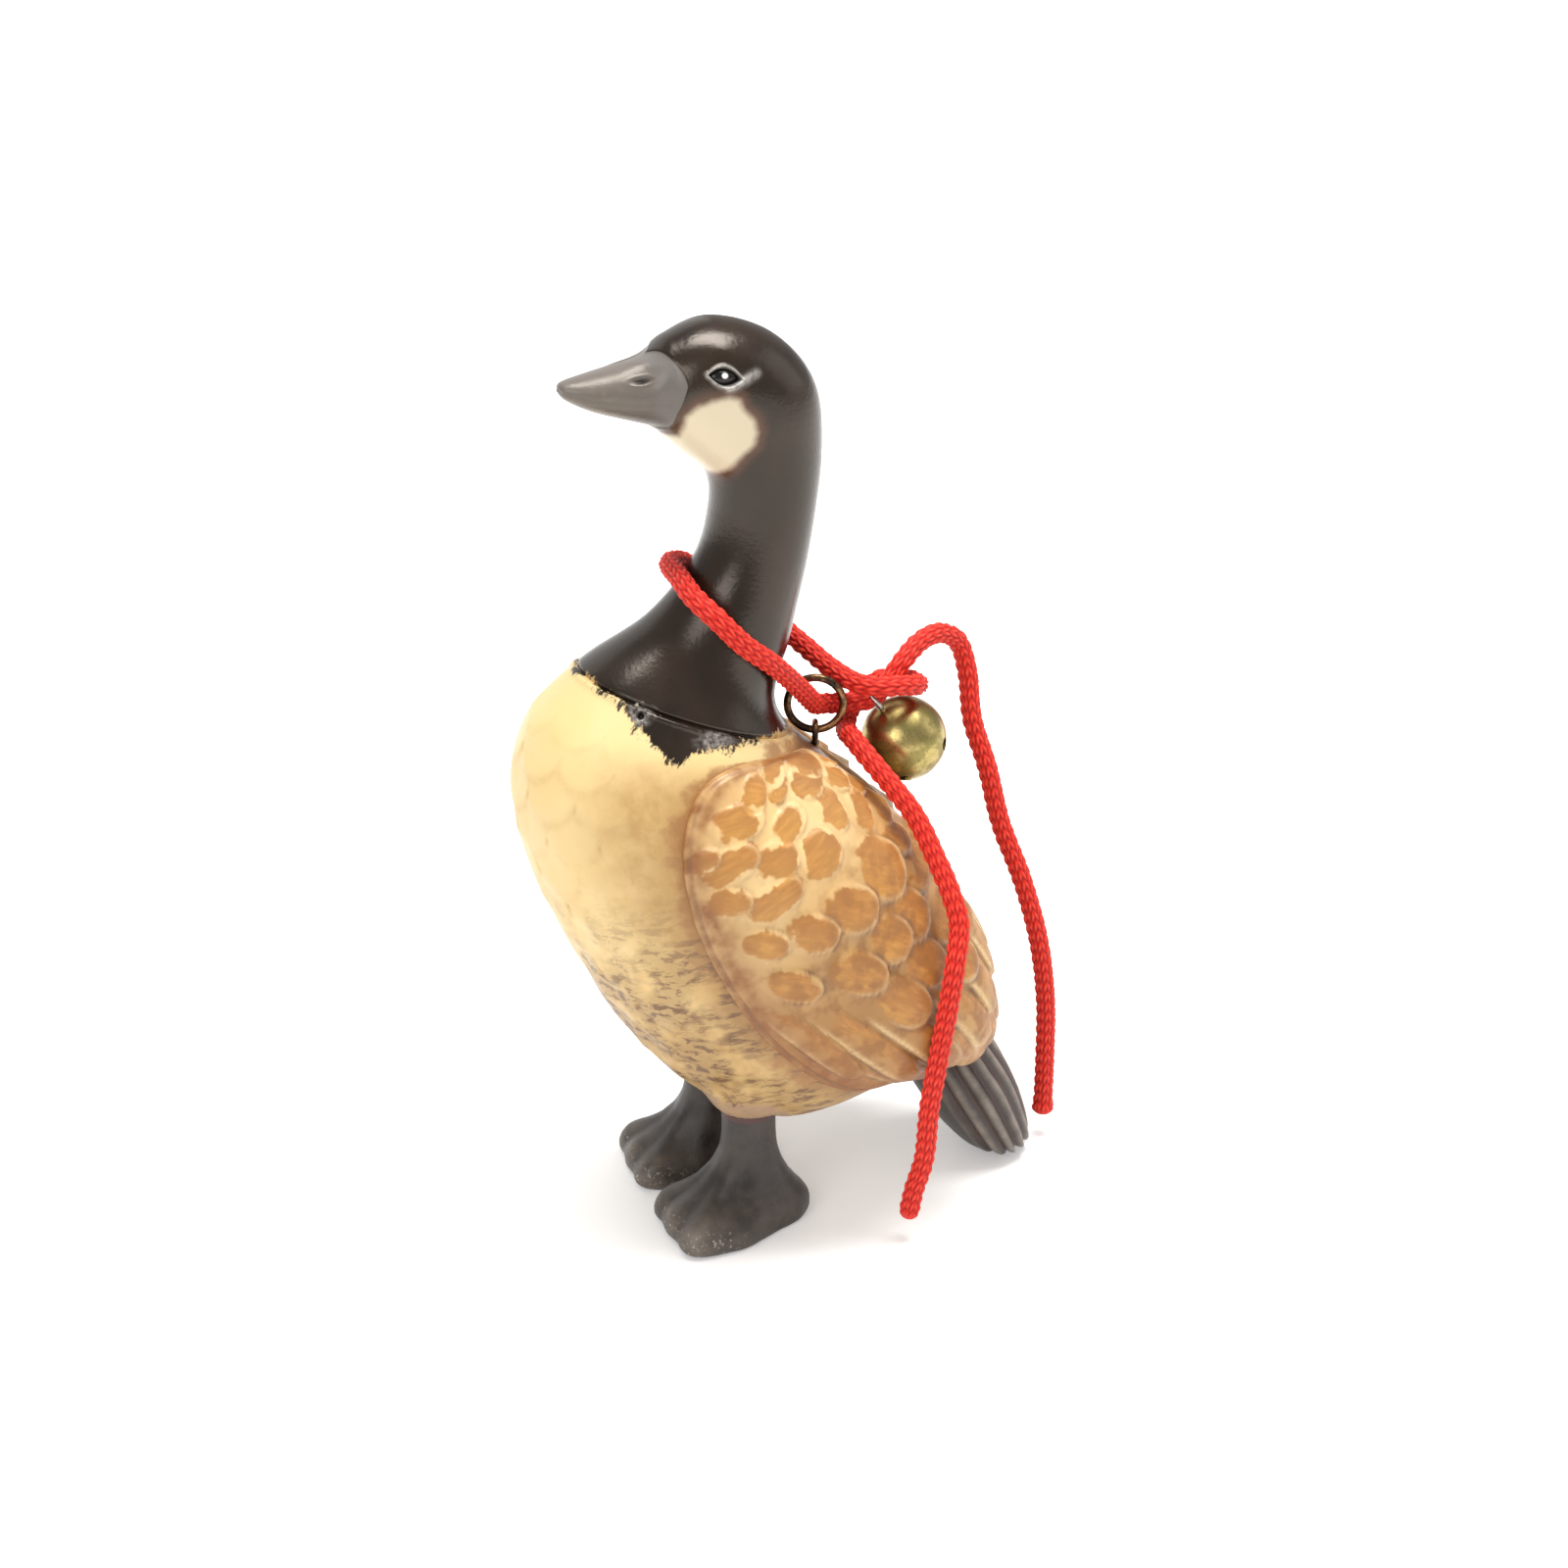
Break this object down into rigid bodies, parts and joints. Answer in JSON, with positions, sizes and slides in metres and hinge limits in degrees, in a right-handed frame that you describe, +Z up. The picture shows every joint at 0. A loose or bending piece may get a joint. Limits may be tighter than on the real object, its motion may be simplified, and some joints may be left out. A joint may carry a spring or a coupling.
{
  "type": "goose ornament",
  "caption": "Standing goose ornament in painted porcelain with a knitted cord looped round its neck, a hanging ring and a jingle bell.",
  "frame": {"origin": "on the ground between the feet, in the middle of the goose's length and width", "axes": "+Z up, -Y the way the goose faces, +X to the goose's left"},
  "size_m": [0.0398, 0.0668, 0.1086],
  "materials": {
    "breast_and_belly": "matt bisque porcelain, hand painted cream with a brown dry-brushed flank",
    "neck_and_head": "satin near-black paint, cream cheek patch, grey-brown bill",
    "wings": "matt cream paint under caramel brown feather dabs",
    "tail": "matt grey-brown paint rubbed lighter on the ridges",
    "legs": "satin dark grey-brown paint",
    "eye_wire": "plain wire",
    "ring_wire": "dark bronzed wire",
    "bell": "tarnished brass sheet",
    "bell_loop": "bright wire",
    "pellet": "plain steel",
    "cord": "red knitted polyester cord with a slight sheen"
  },
  "bodies": {
    "goose": {"body_casting": "breast_and_belly", "neck_and_head": "neck_and_head", "left_wing": "wings", "right_wing": "wings", "tail": "tail", "left_leg": "legs", "right_leg": "legs", "hanger_eye": "eye_wire", "cord_round_neck": "cord", "cord_rear_end": "cord"},
    "ring": {"hanger_ring": "ring_wire"},
    "bell": {"bell_shell": "bell", "bell_shank": "bell_loop"},
    "pellet": {"bell_pellet": "pellet"}
  },
  "joints": [
    {"name": "ring_swing", "type": "hinge", "parent": "goose", "child": "ring", "pos_m": [0, 0.0038, 0.0591], "axis": [0.9397, -0.342, 0], "range_deg": [-4, 6]},
    {"name": "bell_swing", "type": "hinge", "parent": "goose", "child": "bell", "pos_m": [-0.0009, 0.01106, 0.0617], "axis": [0, 0.809, 0.5878], "range_deg": [-12, 5]},
    {"name": "pellet_rattle", "type": "slide", "parent": "bell", "child": "pellet", "axis": [0, -0.5878, 0.809], "range_m": [0, 0.005]}
  ]
}
